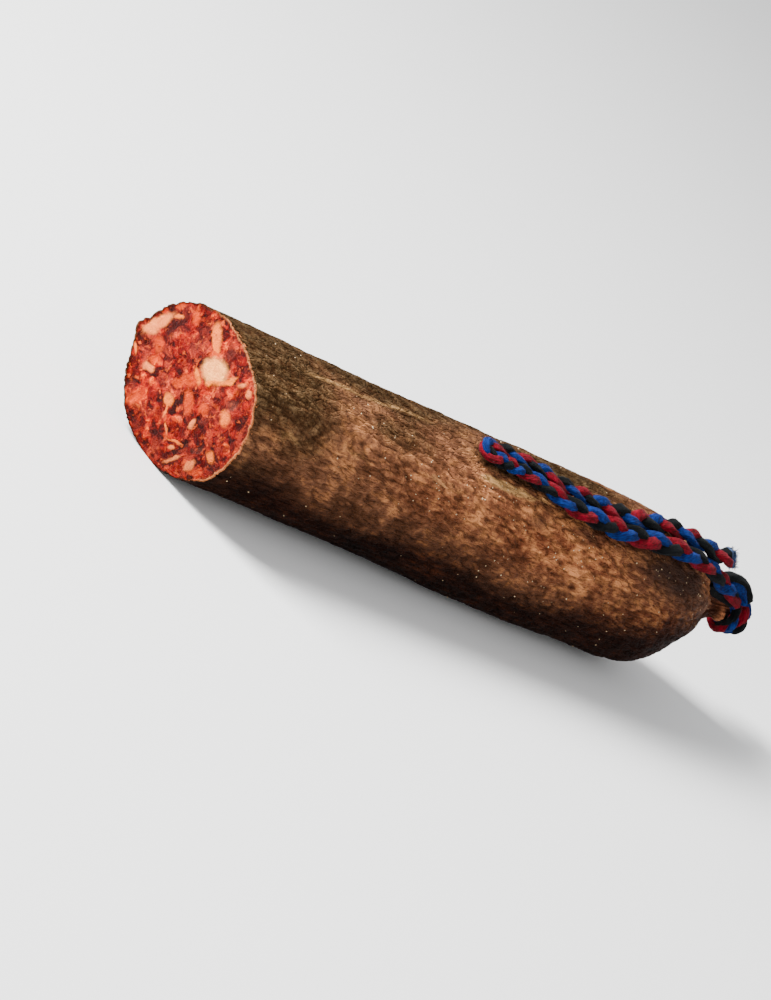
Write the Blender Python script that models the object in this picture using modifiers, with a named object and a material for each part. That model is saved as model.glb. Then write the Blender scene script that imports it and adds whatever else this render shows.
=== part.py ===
"""Half of a cured sausage, cut across on the bias, with a plaited hanging cord tied round its neck.

It lies on its side along X: the cut is at -X, the tied end at +X, and the cord lies along the top.
"""

import math

import bmesh
import bpy
from mathutils import Matrix, Vector

MM = 0.001

# Driving dimensions of the sausage, in millimetres. Distances run from the middle of the cut.
MIDDLE_X = 131.8  # distance from the cut at which the model's X is zero
MIDDLE_Y = 0.2  # how far the middle of the uneven body lies behind its axis
# Each station: distance from the cut, radius, height of the section's middle above the table.
STATIONS = (
    (-18.0, 25.1, 24.7),
    (0.0, 25.2, 24.8),
    (60.0, 25.3, 24.9),
    (120.0, 25.9, 25.5),
    (168.0, 26.5, 26.1),
    (196.0, 26.5, 26.2),
    (208.0, 25.7, 26.4),
    (218.0, 23.7, 26.9),
    (227.5, 20.0, 27.7),
    (235.5, 14.8, 28.7),
    (242.0, 9.2, 29.7),
    (247.6, 5.6, 30.3),
    (254.0, 3.4, 31.2),
    (262.3, 2.9, 32.6),
    (268.3, 3.3, 33.6),
    (271.3, 2.4, 34.1),
    (272.5, 0.0, 34.3),
)
CUT_LEAN = -0.17  # how far the cut shifts along X for each unit of height
CUT_TURN = -0.31  # the same for each unit towards +Y, so the cut faces the front a little
AROUND = 44  # sides of a section
RING_STEP = 5.5  # between rings along the body
DOME_STEP = 2.2  # between rings on the dome and the neck
DOME_START = 205.0

# Low relief of the casing, in millimetres and degrees. Angles run from the top towards the front.
# Each lump: distance, angle, height, half length, half width in degrees.
LUMPS = (
    (124.0, 148.0, 1.3, 24.0, 22.0),
    (160.0, 146.0, 1.0, 18.0, 22.0),
    (70.0, 60.0, 0.4, 22.0, 26.0),
    (98.0, -120.0, 0.7, 26.0, 28.0),
    (190.0, -60.0, 0.6, 18.0, 25.0),
    (215.0, 136.0, 2.1, 13.0, 28.0),
    (4.0, -86.0, 1.7, 34.0, 7.0),
    (256.1, 98.0, 2.4, 1.7, 42.0),
)
# Each set of creases: how many round the section, height, phase, how far they wander.
CREASES = ((5, 0.20, 1.3, 47.0), (8, 0.14, 0.4, 31.0), (13, 0.08, 2.1, 23.0))
CREASE_END = 225.0
CREASE_FADE = 40.0
PLEATS = 11
PLEAT_DEPTH = 0.055  # of the radius, at the neck
PLEAT_LENGTH = 38.0  # from the start of the dome to full depth

# The tie: two turns of the plait pressed together round the neck.
TIE_DISTANCE = 262.3
TIE_INNER = 3.7
TIE_THICKNESS = 4.9
TIE_WIDTH = 8.8
TIE_AROUND = 32
TIE_SECTION = 14
TIE_SQUARENESS = 0.7  # exponent of the section's outline, 1 for an ellipse

# The hanging cord: out of the tie, up over the dome and along the top, round its end and back.
CORD_DIAMETER = 4.8
CORD_SPAN_STEPS = 3
# Distance from the cut, Y and height of the cord's middle.
CORD_ROUTE = (
    (256.0, -3.7, 38.3),
    (249.5, -4.9, 41.6),
    (236.0, -9.1, 44.8),
    (228.5, -11.9, 47.4),
    (220.3, -13.9, 49.1),
    (210.5, -14.8, 50.8),
    (198.1, -16.1, 50.9),
    (184.3, -17.5, 50.1),
    (170.9, -18.2, 49.5),
    (158.1, -18.1, 49.3),
    (146.0, -16.5, 50.0),
    (133.1, -14.6, 50.8),
    (121.0, -12.5, 51.5),
    (110.0, -12.2, 51.4),
    (105.6, -11.7, 51.6),
    (103.0, -9.4, 52.5),
    (104.8, -6.9, 53.2),
    (108.8, -6.2, 53.5),
    (119.0, -6.4, 53.6),
    (131.5, -7.5, 53.6),
    (140.0, -9.6, 53.2),
    (152.0, -11.0, 53.1),
    (163.8, -12.1, 52.9),
    (174.0, -11.7, 53.2),
    (185.5, -9.6, 54.1),
    (198.0, -7.2, 54.7),
    (210.5, -6.3, 54.2),
    (219.0, -6.6, 53.8),
    (228.0, -6.4, 52.8),
    (237.0, -5.2, 53.2),
)


def smooth_value(distance, column):
    """A smooth curve through one column of the stations."""
    last = len(STATIONS) - 1
    spans = [i for i in range(last) if STATIONS[i][0] <= distance]
    i = spans[-1] if spans else 0

    def slope(k):
        below, above = STATIONS[max(k - 1, 0)], STATIONS[min(k + 1, last)]
        return (above[column] - below[column]) / (above[0] - below[0])

    (x0, x1) = (STATIONS[i][0], STATIONS[i + 1][0])
    (v0, v1) = (STATIONS[i][column], STATIONS[i + 1][column])
    length = x1 - x0
    t = min(max((distance - x0) / length, 0.0), 1.0)
    return (
        v0 * (2 * t**3 - 3 * t**2 + 1)
        + v1 * (3 * t**2 - 2 * t**3)
        + slope(i) * length * (t**3 - 2 * t**2 + t)
        + slope(i + 1) * length * (t**3 - t**2)
    )


def angle_between(a, b):
    return (a - b + math.pi) % (2 * math.pi) - math.pi


def relief(distance, angle):
    """Height of the casing over its round section: lumps, long creases and the pleats at the neck."""
    height = 0.0
    for at, facing, lift, half_length, half_width in LUMPS:
        along = (distance - at) / half_length
        across = angle_between(angle, math.radians(facing)) / math.radians(half_width)
        height += lift * math.exp(-(along**2) - across**2)
    body = min(max((CREASE_END - distance) / CREASE_FADE, 0.0), 1.0)
    for count, lift, phase, wander in CREASES:
        height += body * lift * math.cos(count * angle + phase + math.sin(distance / wander))
    gather = min(max((distance - DOME_START) / PLEAT_LENGTH, 0.0), 1.0) ** 1.5
    swing = math.cos(PLEATS * angle + 0.7 * math.sin(2 * angle) + distance / 30.0)
    return height + gather * PLEAT_DEPTH * smooth_value(distance, 1) * swing


def surface_point(distance, radius, angle):
    """A point of the skin, in metres. Angle 0 is the top, and 90 degrees the front, at -Y."""
    grown = radius + relief(distance, angle) * min(radius / 2.0, 1.0)
    return MM * Vector(
        (
            distance - MIDDLE_X,
            -grown * math.sin(angle) - MIDDLE_Y,
            smooth_value(distance, 2) + grown * math.cos(angle),
        )
    )


def ring_distances():
    """Where the sections stand, closer together on the dome and the neck."""
    first, last = STATIONS[0][0], STATIONS[-1][0]
    body = math.ceil((DOME_START - first) / RING_STEP)
    dome = math.ceil((last - DOME_START) / DOME_STEP)
    found = [first + (DOME_START - first) * i / body for i in range(body)]
    return found + [DOME_START + (last - DOME_START) * i / dome for i in range(dome + 1)]


def turned_mesh(name, outline, closed, steps):
    """A profile in the XZ plane, turned round Z by a Screw modifier and read back as a mesh."""
    profile = bpy.data.meshes.new(name)
    count = len(outline)
    edges = [(i, (i + 1) % count) for i in range(count if closed else count - 1)]
    profile.from_pydata([(r * MM, 0.0, h * MM) for r, h in outline], edges, [])
    obj = bpy.data.objects.new(name, profile)
    bpy.context.scene.collection.objects.link(obj)
    screw = obj.modifiers.new("turn", "SCREW")
    screw.axis = "Z"
    screw.angle = 2 * math.pi
    screw.steps = steps
    screw.render_steps = steps
    screw.use_merge_vertices = True
    screw.merge_threshold = 0.00001
    shape = bpy.context.evaluated_depsgraph_get()
    shape.update()
    mesh = bpy.data.meshes.new_from_object(obj.evaluated_get(shape))
    bpy.data.objects.remove(obj)
    bpy.data.meshes.remove(profile)
    return mesh


def material(name, colour, roughness, metallic=0.0):
    made = bpy.data.materials.new(name)
    made.use_nodes = True
    shader = made.node_tree.nodes["Principled BSDF"]
    shader.inputs["Base Color"].default_value = (*colour, 1.0)
    shader.inputs["Roughness"].default_value = roughness
    shader.inputs["Metallic"].default_value = metallic
    return made


def add_object(name, mesh, collection, finish):
    obj = bpy.data.objects.new(name, mesh)
    collection.objects.link(obj)
    obj.data.materials.clear()
    obj.data.materials.append(finish)
    if obj.type == "MESH":
        obj.data.shade_smooth()
        obj.data.set_sharp_from_angle(angle=math.radians(40))
    return obj


def slice_off(bm, point, outward):
    """Cuts away what lies beyond a plane and closes the cut with a flat face."""
    geometry = bm.verts[:] + bm.edges[:] + bm.faces[:]
    bmesh.ops.bisect_plane(
        bm, geom=geometry, dist=1e-7, plane_co=point, plane_no=outward, clear_outer=True
    )
    rim = [edge for edge in bm.edges if edge.is_boundary]
    bmesh.ops.holes_fill(bm, edges=rim, sides=0)


def make_sausage(collection):
    distances = ring_distances()
    outline = [(max(smooth_value(d, 1), 0.0), d) for d in reversed(distances)]
    outline[0] = (0.0, outline[0][1])
    outline.append((0.0, distances[0]))
    mesh = turned_mesh("sausage", outline, False, AROUND)
    bm = bmesh.new()
    bm.from_mesh(mesh)
    for vert in bm.verts:
        x, y, z = vert.co / MM
        vert.co = surface_point(z, math.hypot(x, y), math.atan2(y, x))
    middle = MM * Vector((-MIDDLE_X, 0.0, smooth_value(0.0, 2)))
    slice_off(bm, middle, Vector((-1.0, CUT_TURN, CUT_LEAN)).normalized())
    slice_off(bm, Vector((0.0, 0.0, 0.0)), Vector((0.0, 0.0, -1.0)))
    bmesh.ops.dissolve_degenerate(bm, edges=bm.edges[:], dist=1e-6)
    bm.to_mesh(mesh)
    bm.free()
    casing = material("casing", (0.17, 0.075, 0.035), 0.6)
    add_object("sausage", mesh, collection, casing)


def make_neck_tie(collection, cord_finish):
    """A ring round the neck, tilted with it."""
    middle = TIE_INNER + TIE_THICKNESS / 2

    def rounded(value):
        return math.copysign(abs(value) ** TIE_SQUARENESS, value)

    outline = []
    for i in range(TIE_SECTION):
        turn = -2 * math.pi * i / TIE_SECTION
        outline.append(
            (
                middle + rounded(math.cos(turn)) * TIE_THICKNESS / 2,
                rounded(math.sin(turn)) * TIE_WIDTH / 2,
            )
        )
    mesh = turned_mesh("neck_tie", outline, True, TIE_AROUND)
    before, after = TIE_DISTANCE - TIE_WIDTH / 2, TIE_DISTANCE + TIE_WIDTH / 2
    rise = smooth_value(after, 2) - smooth_value(before, 2)
    tilt = Matrix.Rotation(math.pi / 2 - math.atan2(rise, TIE_WIDTH), 4, "Y")
    obj = add_object("neck_tie", mesh, collection, cord_finish)
    height = (smooth_value(after, 2) + smooth_value(before, 2)) / 2
    place = Vector((TIE_DISTANCE - MIDDLE_X, 0.0, height)) * MM
    obj.matrix_world = Matrix.Translation(place) @ tilt


def smooth_route(points, steps):
    """Points read from a smooth curve through the given ones."""
    found = []
    last = len(points) - 1
    for i in range(last):
        before, start = points[max(i - 1, 0)], points[i]
        end, after = points[i + 1], points[min(i + 2, last)]
        for k in range(steps):
            t = k / steps
            found.append(
                0.5
                * (
                    2 * start
                    + (end - before) * t
                    + (2 * before - 5 * start + 4 * end - after) * t**2
                    + (3 * start - before - 3 * end + after) * t**3
                )
            )
    return [*found, points[last]]


def make_cord(collection, cord_finish):
    route = [MM * Vector((x - MIDDLE_X, y, z)) for x, y, z in CORD_ROUTE]
    curve = bpy.data.curves.new("cord_loop", "CURVE")
    curve.dimensions = "3D"
    curve.bevel_depth = CORD_DIAMETER / 2 * MM
    curve.bevel_resolution = 2
    curve.use_fill_caps = True
    points = smooth_route(route, CORD_SPAN_STEPS)
    spline = curve.splines.new("POLY")
    spline.points.add(len(points) - 1)
    for place, point in zip(spline.points, points):
        place.co = (*point, 1.0)
    add_object("cord_loop", curve, collection, cord_finish)


def main():
    for obj in list(bpy.data.objects):
        bpy.data.objects.remove(obj)
    collection = bpy.data.collections.new("cured_sausage")
    bpy.context.scene.collection.children.link(collection)
    cord_finish = material("cord", (0.16, 0.02, 0.06), 0.9)
    make_sausage(collection)
    make_neck_tie(collection, cord_finish)
    make_cord(collection, cord_finish)


main()
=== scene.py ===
import math
import random

import bpy
import numpy as np
from mathutils import Matrix, Vector, noise


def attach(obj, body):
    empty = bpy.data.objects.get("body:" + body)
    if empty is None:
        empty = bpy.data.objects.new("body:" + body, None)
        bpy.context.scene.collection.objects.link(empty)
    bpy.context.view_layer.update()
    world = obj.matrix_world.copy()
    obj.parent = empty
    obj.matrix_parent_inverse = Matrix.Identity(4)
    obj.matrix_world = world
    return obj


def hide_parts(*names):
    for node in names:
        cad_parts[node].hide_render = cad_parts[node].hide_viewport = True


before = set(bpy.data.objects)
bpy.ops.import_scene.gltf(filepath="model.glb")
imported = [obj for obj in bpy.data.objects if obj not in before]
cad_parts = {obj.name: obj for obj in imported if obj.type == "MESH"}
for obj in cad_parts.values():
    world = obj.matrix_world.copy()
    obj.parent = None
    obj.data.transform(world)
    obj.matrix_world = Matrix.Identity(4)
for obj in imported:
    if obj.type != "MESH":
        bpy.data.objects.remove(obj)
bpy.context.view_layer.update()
mm = 0.001  # lengths below are in millimetres unless a note says otherwise
fullTurn = 2 * math.pi

# the camera
view = {
    "azimuth": 47.3,  # degrees, looking along +X and +Y
    "elevation": 18.0,
    "roll": 42.305,  # tips the picture, as the piece lies flat
    "target": (-37.0, 0.0, 18.2),
    "away": 1050.0,
    "lens": 120.6,
}


def cameraAxes():
    turn, lift = math.radians(view["azimuth"]), math.radians(view["elevation"])
    roll = math.radians(view["roll"])
    ahead = Vector((math.cos(lift) * math.sin(turn), math.cos(lift) * math.cos(turn), -math.sin(lift)))
    level = Vector((math.cos(turn), -math.sin(turn), 0.0))
    upright = level.cross(ahead)
    right = level * math.cos(roll) + upright * math.sin(roll)
    up = upright * math.cos(roll) - level * math.sin(roll)
    return right, up, ahead


def makeCamera():
    right, up, ahead = cameraAxes()
    camera = bpy.data.objects.new("camera", bpy.data.cameras.new("camera"))
    camera.data.lens = view["lens"]
    camera.data.sensor_width = 36.0
    camera.data.clip_end = 20.0
    turned = Matrix((right, up, -ahead)).transposed().to_4x4()
    place = (Vector(view["target"]) - ahead * view["away"]) * mm
    camera.matrix_world = Matrix.Translation(place) @ turned
    bpy.context.scene.collection.objects.link(camera)
    bpy.context.scene.camera = camera


makeCamera()
print("camera set")


# small helpers
def tint(red, green, blue):
    # a colour, 0 to 255, turned into light
    parts = [c / 255 for c in (red, green, blue)]
    return tuple(c / 12.92 if c < 0.04045 else ((c + 0.055) / 1.055) ** 2.4 for c in parts) + (1.0,)


def bumps(points, wave, shift=0.0):
    # smooth noise from -1 to 1, its waves about this many millimetres long
    scaled = points / wave + shift
    return np.array([noise.noise(Vector(p)) for p in scaled])


def softStep(low, high, value):
    t = np.clip((value - low) / (high - low), 0.0, 1.0)
    return t * t * (3 - 2 * t)


def gridFaces(rows, columns, start=0):
    # quads of a sleeve whose rows close on themselves
    found = []
    for i in range(rows - 1):
        low, high = start + i * columns, start + (i + 1) * columns
        for j in range(columns):
            k = (j + 1) % columns
            found.append((low + j, low + k, high + k, high + j))
    return found


attributeKinds = {1: ("FLOAT", "value"), 3: ("FLOAT_VECTOR", "vector"), 4: ("FLOAT_COLOR", "color")}


def addPiece(name, points, faces, paints, slots=None, attributes=None):
    # points in millimetres; attributes are a value, a vector or a colour for each point
    mesh = bpy.data.meshes.new(name)
    mesh.from_pydata((np.asarray(points) * mm).tolist(), [], faces)
    for paint in paints:
        mesh.materials.append(paint)
    if slots is not None:
        mesh.polygons.foreach_set("material_index", slots)
    for key, values in (attributes or {}).items():
        values = np.asarray(values, dtype=np.float32)
        kind, field = attributeKinds[values.size // len(values)]
        mesh.attributes.new(key, kind, "POINT").data.foreach_set(field, values.ravel())
    mesh.update()
    mesh.shade_smooth()
    piece = bpy.data.objects.new(name, mesh)
    bpy.context.scene.collection.objects.link(piece)
    return piece


# materials
class Socket:
    # an output with plain arithmetic, so that 1 - mask adds its own Math node
    def __init__(self, paint, source):
        self.paint = paint
        self.source = source

    def math(self, operation, first, second, clamp=False):
        settings = {"operation": operation, "use_clamp": clamp}
        return self.paint.node("ShaderNodeMath", settings, {0: first, 1: second})

    def __add__(self, other):
        return self.math("ADD", self, other)

    def __radd__(self, other):
        return self.math("ADD", other, self)

    def __sub__(self, other):
        return self.math("SUBTRACT", self, other)

    def __rsub__(self, other):
        return self.math("SUBTRACT", other, self)

    def __mul__(self, other):
        return self.math("MULTIPLY", self, other)

    def __rmul__(self, other):
        return self.math("MULTIPLY", other, self)

    def held(self):
        return self.math("ADD", self, 0.0, clamp=True)

    def between(self, low, high):
        # 0 below low, 1 above high, smooth in between
        settings = {"interpolation_type": "SMOOTHSTEP"}
        return self.paint.node("ShaderNodeMapRange", settings, {0: self, 1: low, 2: high})


class Paint:
    # one material: node() adds any node, its settings first and then its sockets
    def __init__(self, name):
        self.made = bpy.data.materials.new(name)
        self.made.use_nodes = True
        self.tree = self.made.node_tree
        self.shader = self.tree.nodes["Principled BSDF"]

    def node(self, kind, settings, inputs, output=0):
        added = self.tree.nodes.new(kind)
        for key, value in settings.items():
            if key == "stops":
                self.setStops(added.color_ramp, value)
            else:
                setattr(added, key, value)
        for key, value in inputs.items():
            self.feed(added.inputs[key], value)
        return Socket(self, added.outputs[output])

    def setStops(self, ramp, stops):
        while len(ramp.elements) < len(stops):
            ramp.elements.new(0.5)
        for element, (position, colour) in zip(ramp.elements, stops):
            element.position = position
            element.color = colour

    def feed(self, socket, value):
        if isinstance(value, Socket):
            self.tree.links.new(value.source, socket)
        else:
            socket.default_value = value

    def finish(self, values):
        for key, value in values.items():
            self.feed(self.shader.inputs[key], value)
        return self.made

    def places(self, stretch=(1.0, 1.0, 1.0)):
        # the object's own coordinates in millimetres, stretched
        own = self.node("ShaderNodeTexCoord", {}, {}, "Object")
        scale = tuple(s / mm for s in stretch)
        return self.node("ShaderNodeMapping", {}, {"Vector": own, "Scale": scale})

    def shifted(self, places, amount, scale):
        # places pushed about by noise
        inputs = {"Vector": places, "Scale": scale, "Detail": 2.0}
        wobble = self.node("ShaderNodeTexNoise", {}, inputs, "Color")
        centring = {"operation": "SUBTRACT"}
        centred = self.node("ShaderNodeVectorMath", centring, {0: wobble, 1: (0.5, 0.5, 0.5)})
        adding = {"operation": "MULTIPLY_ADD"}
        return self.node("ShaderNodeVectorMath", adding, {0: centred, 1: (amount,) * 3, 2: places})

    def noise(self, places, scale, detail=3.0, rough=0.55):
        inputs = {"Vector": places, "Scale": scale, "Detail": detail, "Roughness": rough}
        return self.node("ShaderNodeTexNoise", {}, inputs, "Fac")

    def cells(self, places, scale, feature="F1", output="Distance"):
        inputs = {"Vector": places, "Scale": scale}
        return self.node("ShaderNodeTexVoronoi", {"feature": feature}, inputs, output)

    def softCells(self, places, scale, channel):
        # lumps with soft edges, each with its own value
        inputs = {"Vector": places, "Scale": scale, "Smoothness": 0.25}
        cells = self.node("ShaderNodeTexVoronoi", {"feature": "SMOOTH_F1"}, inputs, "Color")
        return self.node("ShaderNodeSeparateColor", {}, {0: cells}, channel)

    def ramp(self, value, stops):
        return self.node("ShaderNodeValToRGB", {"stops": stops}, {0: value}, "Color")

    def blend(self, factor, first, second, mode="MIX"):
        settings = {"data_type": "RGBA", "blend_type": mode}
        return self.node("ShaderNodeMix", settings, {0: factor, 6: first, 7: second}, 2)

    def stored(self, name, output="Fac"):
        return self.node("ShaderNodeAttribute", {"attribute_name": name}, {}, output)

    def bump(self, height, strength, depth):
        inputs = {"Height": height, "Strength": strength, "Distance": depth * mm}
        return self.node("ShaderNodeBump", {}, inputs)


# the plaited cord
cord = {
    "middleX": 131.8,  # distance from the cut at which X is zero
    # distance from the cut, Y and height of the plait's middle, from the tie round the loop to the tip
    "route": [
        (256.0, -3.7, 38.3), (249.5, -4.6, 41.8), (236.0, -8.2, 45.4), (228.5, -10.9, 48.2),
        (220.3, -12.9, 50.0), (210.5, -13.8, 51.4), (198.1, -15.0, 51.8), (184.3, -16.3, 51.1),
        (170.9, -17.0, 50.5), (158.1, -16.8, 50.3), (146.0, -15.8, 50.2), (133.1, -13.2, 51.2),
        (121.0, -11.2, 51.9), (110.0, -10.8, 52.0), (105.6, -10.4, 52.1), (103.4, -9.0, 52.5),
        (104.8, -7.2, 53.1), (108.8, -6.6, 53.4), (119.0, -6.8, 53.5), (131.5, -8.0, 53.5),
        (140.0, -9.8, 53.1), (152.0, -11.0, 53.0), (163.8, -12.1, 52.9), (174.0, -11.7, 53.2),
        (185.5, -9.6, 54.1), (198.0, -7.2, 54.7), (210.5, -6.3, 54.2), (219.0, -6.6, 53.8),
        (228.0, -6.4, 52.8), (237.0, -5.2, 53.2),
    ],
    # where along the cord the first strand has turned this many degrees: a full turn is one crossing and back
    "marks": [
        (0, -120), (2, -105), (14, 15), (29, 135), (42, 255), (54, 375), (66.5, 495), (79, 615),
        (90, 735), (100, 855), (110, 975), (120, 1095), (129, 1215), (137, 1335), (143.5, 1455),
        (148, 1575), (153, 1695), (221, 2595), (254, 2955), (288, 3315), (320, 3660),
    ],
    # how thick the plait is along it
    "sizes": [
        (0, 1.1), (10, 1.22), (22, 1.18), (34, 1.0), (45, 1.0), (62, 1.1), (92, 1.08), (108, 0.94),
        (128, 0.84), (150, 0.80), (185, 0.82), (205, 0.92), (225, 1.08), (262, 1.1), (280, 1.14), (295, 1.16),
    ],
    "strands": [0, 1, 2],
    "sway": 1.55,  # how far a strand swings to each side
    "weave": 0.85,  # how far it rises and dips
    "strandWide": 1.8,  # half width of a strand
    "strandHigh": 1.22,  # half thickness
    "smooth": 12,  # steps between two points of the route
    "seed": 4,
}

tie = {
    "distance": 262.3,  # of the ring's middle from the cut
    "halfWide": 4.4,
    "radius": 6.15,  # of the middle of the turns
    "gap": 2.2,  # each turn's distance from the ring's middle
    "start": 35.0,  # degrees from the top towards the front
    "turns": 1.9,
    "shiftOver": (0.75, 1.1),  # the part of a turn in which the plait moves over to the next one
    "leadIn": (-0.9, -0.4, 0.5),  # from the hanging cord's start
    "tuckIn": 1.0,  # how far its end dips
    "marks": [(0, 200), (200, 2600)],
    "sizes": [(0, 1.0)],
    "strands": [0, 1, 2],
    "sway": 1.0,
    "weave": 0.85,
    "strandWide": 1.65,
    "strandHigh": 1.3,
    "every": 20.0,  # degrees between two points of the turns
    "smooth": 8,
    "seed": 9,
}

# single strands that run from the hanging cord over the turns, and under it along the neck
bridges = {
    "routes": [
        [
            (231.0, -6.5, 45.2), (237.2, -5.5, 43.9), (241.6, -4.0, 44.8), (246.4, -2.6, 45.5),
            (251.9, -1.7, 45.5), (257.0, -1.7, 44.3), (260.0, -2.5, 42.8), (262.4, -3.0, 40.5),
        ],
        [
            (236.0, -5.5, 42.5), (239.0, -5.0, 41.3), (242.0, -4.3, 39.4), (246.0, -3.8, 38.4),
            (250.0, -3.6, 37.9), (256.0, -3.6, 37.6),
        ],
        [
            (238.5, -5.0, 43.0), (241.5, -4.4, 42.6), (246.0, -3.4, 43.0), (250.5, -2.7, 43.4),
            (255.0, -2.6, 43.0), (259.0, -3.0, 41.2), (261.0, -3.6, 39.0),
        ],
    ],
    "colours": [1, 1, 2],  # places in the list of yarns
    "marks": [(0, 0), (60, 300)],
    "sizes": [(0, 1.0)],
    "sway": 0.0,
    "weave": 0.0,
    "strandWide": 2.1,
    "strandHigh": 1.8,
}

fibre = {
    "plies": 5,
    "plyDepth": 0.10,  # of the strand's radius
    "plyPitch": 17.0,
    "step": 0.8,
    "sides": 20,
    "uneven": 0.12,  # how much a strand swells and thins along its length
    "rough": (0.9, 0.13),  # wave length and height of the wool's small lumps
    "taper": (2.5, 0.25),  # the length over which the frayed end thins, and by how much
    "hairs": 9.0,  # fuzz fibres for each millimetre of cord
    "hairLength": (0.6, 1.7),
    "hairThick": 0.045,
    "fray": 2.5,  # length of the loose end
    "frayHairs": 330,  # for each strand
    "frayThick": 0.13,
    "tuft": 3.2,  # how much of the end is worn to grey-blue
    "evened": 7,  # steps to each side over which the twist is evened
    "colours": ["crimson", "black", "royalBlue", "greyBlue"],
    "worn": 3,  # the worn yarn's place in that list
}

yarns = {
    # lit wool, and its shade between the fibres
    "crimson": [tint(120, 6, 28), tint(48, 6, 6)],
    "royalBlue": [tint(14, 47, 113), tint(6, 6, 43)],
    "black": [tint(8, 12, 15), tint(5, 5, 5)],
    "greyBlue": [tint(69, 86, 117), tint(27, 36, 55)],
}


def makeYarn(name):
    bright, shade = yarns[name]
    paint = Paint(name + "Yarn")
    along = paint.stored("fibre", "Vector")
    fine = paint.noise(along, 3.2, 5.0, 0.7)
    broad = paint.noise(paint.places(), 0.5, 2.0)
    depth = (fine * 0.9 + broad * 0.35 - 0.12).between(0.34, 0.66)
    colour = paint.blend(depth, shade, bright)
    return paint.finish({
        "Base Color": colour,
        "Roughness": 0.95,
        "Specular IOR Level": 0.03,
        "Sheen Weight": 0.03,
        "Sheen Roughness": 0.5,
        "Normal": paint.bump(fine, 0.9, 0.5),
    })


yarnPaints = [makeYarn(name) for name in fibre["colours"]]


def smoothRoute(points, steps):
    # a smooth curve through the points
    points = np.array(points, dtype=float)
    last = len(points) - 1
    found = []
    for i in range(last):
        before, start = points[max(i - 1, 0)], points[i]
        end, after = points[i + 1], points[min(i + 2, last)]
        for k in range(steps):
            t = k / steps
            straight = 2 * start + (end - before) * t
            curved = (2 * before - 5 * start + 4 * end - after) * t**2
            found.append(0.5 * (straight + curved + (3 * start - before - 3 * end + after) * t**3))
    found.append(points[last])
    return np.array(found)


def evenly(points, step):
    # the same line with points at even steps, and how far along each lies
    lengths = np.linalg.norm(np.diff(points, axis=0), axis=1)
    along = np.concatenate([[0.0], np.cumsum(lengths)])
    spots = np.linspace(0.0, along[-1], max(int(round(along[-1] / step)), 2) + 1)
    return np.stack([np.interp(spots, along, points[:, k]) for k in range(3)], axis=1), spots


def unit(vectors):
    return vectors / np.maximum(np.linalg.norm(vectors, axis=-1, keepdims=True), 1e-9)


def rows(values):
    return np.asarray(values)[:, None]


def evenedTurn(marks, along):
    # degrees turned at each step, without kinks where the pitch changes
    turned = np.interp(along, [m[0] for m in marks], [m[1] for m in marks])
    reach = min(fibre["evened"], len(along) // 2)
    before = 2 * turned[0] - turned[reach:0:-1]
    after = 2 * turned[-1] - turned[-2:-reach - 2:-1]
    window = 2 * reach + 1
    return np.convolve(np.concatenate([before, turned, after]), np.ones(window) / window, mode="valid")


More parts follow.
